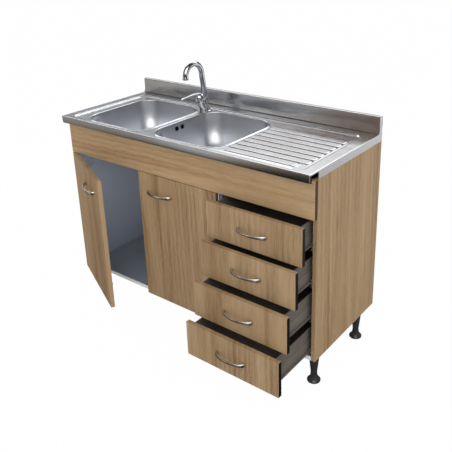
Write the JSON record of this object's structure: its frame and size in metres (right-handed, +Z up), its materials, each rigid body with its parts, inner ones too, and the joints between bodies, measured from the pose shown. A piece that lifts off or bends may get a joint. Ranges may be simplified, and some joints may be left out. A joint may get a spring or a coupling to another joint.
{
  "type": "kitchen sink unit",
  "caption": "Kitchen sink unit with a steel worktop, bowls, drainer and mixer tap on an oak-effect cabinet with hinged doors and sliding drawers on adjustable legs.",
  "frame": {"origin": "on the floor under the middle of the overall box, drawers and left door as pictured", "axes": "+X to the right along the worktop, +Y to the wall, +Z up"},
  "size_m": [1.2, 0.6998, 1.067],
  "materials": {
    "oak_veneer": "matt oak-effect foil with a straight grain and black-brown edges",
    "grey_board": "matt grey melamine",
    "back_board": "smooth painted hardboard",
    "stainless": "satin stainless sheet, brighter on the pressed edges",
    "waste_steel": "polished stainless",
    "waste_plastic": "white polypropylene",
    "chrome_tap": "polished chrome plate",
    "zinc_fittings": "nickel and zinc plate",
    "runner_steel": "grey epoxy coat",
    "satin_nickel": "satin nickel plate",
    "tray_plastic": "smooth dark grey moulding",
    "leg_plastic": "smooth black moulding"
  },
  "bodies": {
    "cabinet": {"side_panel_left": "oak_veneer", "side_panel_right": "oak_veneer", "fascia_panel": "oak_veneer", "bottom_panel": "grey_board", "partition": "grey_board", "rear_rail": "grey_board", "back_panel": "back_board", "sink_top": "stainless", "bowl_left": "stainless", "bowl_right": "stainless", "waste_left": "waste_steel", "waste_right": "waste_steel", "cross_pipe": "waste_plastic", "bottle_trap": "waste_plastic", "overflow_duct": "waste_plastic", "tap_body": "chrome_tap", "tap_nut": "zinc_fittings", "hinge_arm_left_lower": "zinc_fittings", "hinge_arm_left_upper": "zinc_fittings", "hinge_arm_right_lower": "zinc_fittings", "hinge_arm_right_upper": "zinc_fittings", "runner_left_1": "runner_steel", "runner_right_1": "runner_steel", "runner_left_2": "runner_steel", "runner_right_2": "runner_steel", "runner_left_3": "runner_steel", "runner_right_3": "runner_steel", "runner_left_4": "runner_steel", "runner_right_4": "runner_steel", "leg_front_left": "leg_plastic", "leg_front_right": "leg_plastic", "leg_rear_left": "leg_plastic", "leg_rear_right": "leg_plastic"},
    "door_left": {"door_left": "oak_veneer", "handle_door_left": "satin_nickel", "hinge_cup_left_lower": "zinc_fittings", "hinge_cup_left_upper": "zinc_fittings"},
    "door_right": {"door_right": "oak_veneer", "handle_door_right": "satin_nickel", "hinge_cup_right_lower": "zinc_fittings", "hinge_cup_right_upper": "zinc_fittings"},
    "drawer_1": {"drawer_front_1": "oak_veneer", "drawer_tray_1": "tray_plastic", "drawer_handle_1": "satin_nickel"},
    "drawer_2": {"drawer_front_2": "oak_veneer", "drawer_tray_2": "tray_plastic", "drawer_handle_2": "satin_nickel"},
    "drawer_3": {"drawer_front_3": "oak_veneer", "drawer_tray_3": "tray_plastic", "drawer_handle_3": "satin_nickel"},
    "drawer_4": {"drawer_front_4": "oak_veneer", "drawer_tray_4": "tray_plastic", "drawer_handle_4": "satin_nickel"},
    "spout": {"tap_spout": "chrome_tap"},
    "mixer_cap": {"tap_cap": "chrome_tap"},
    "mixer_lever": {"tap_lever": "chrome_tap"},
    "foot_front_left": {"leg_pad_front_left": "leg_plastic"},
    "foot_front_right": {"leg_pad_front_right": "leg_plastic"},
    "foot_rear_left": {"leg_pad_rear_left": "leg_plastic"},
    "foot_rear_right": {"leg_pad_rear_right": "leg_plastic"}
  },
  "joints": [
    {"name": "door_left_hinge", "type": "hinge", "parent": "cabinet", "child": "door_left", "pos_m": [-0.5985, -0.1176, 0.406], "axis": [0, 0, -1], "range_deg": [-25.5, 69.5]},
    {"name": "door_right_hinge", "type": "hinge", "parent": "cabinet", "child": "door_right", "pos_m": [0.192, -0.1176, 0.406], "axis": [0, 0, 1], "range_deg": [0, 85]},
    {"name": "drawer_1_slide", "type": "slide", "parent": "cabinet", "child": "drawer_1", "axis": [0, -1, 0], "range_m": [-0.069, 0.231]},
    {"name": "drawer_2_slide", "type": "slide", "parent": "cabinet", "child": "drawer_2", "axis": [0, -1, 0], "range_m": [-0.108, 0.192]},
    {"name": "drawer_3_slide", "type": "slide", "parent": "cabinet", "child": "drawer_3", "axis": [0, -1, 0], "range_m": [-0.156, 0.144]},
    {"name": "drawer_4_slide", "type": "slide", "parent": "cabinet", "child": "drawer_4", "axis": [0, -1, 0], "range_m": [-0.204, 0.096]},
    {"name": "spout_swivel", "type": "hinge", "parent": "cabinet", "child": "spout", "pos_m": [-0.148, 0.23855, 0.90572], "axis": [0, -0.1392, 0.9903], "range_deg": [-100, 100]},
    {"name": "mixer_turn", "type": "hinge", "parent": "cabinet", "child": "mixer_cap", "pos_m": [-0.148, 0.2035, 0.90911], "axis": [0, -0.4067, 0.9135], "range_deg": [-35, 35]},
    {"name": "mixer_lift", "type": "hinge", "parent": "mixer_cap", "child": "mixer_lever", "pos_m": [-0.148, 0.2035, 0.90911], "axis": [-1, 0, 0], "range_deg": [0, 22]},
    {"name": "foot_front_left_height", "type": "slide", "parent": "cabinet", "child": "foot_front_left", "axis": [0, 0, -1], "range_m": [0, 0.015]},
    {"name": "foot_front_right_height", "type": "slide", "parent": "cabinet", "child": "foot_front_right", "axis": [0, 0, -1], "range_m": [0, 0.015]},
    {"name": "foot_rear_left_height", "type": "slide", "parent": "cabinet", "child": "foot_rear_left", "axis": [0, 0, -1], "range_m": [0, 0.015]},
    {"name": "foot_rear_right_height", "type": "slide", "parent": "cabinet", "child": "foot_rear_right", "axis": [0, 0, -1], "range_m": [0, 0.015]}
  ]
}
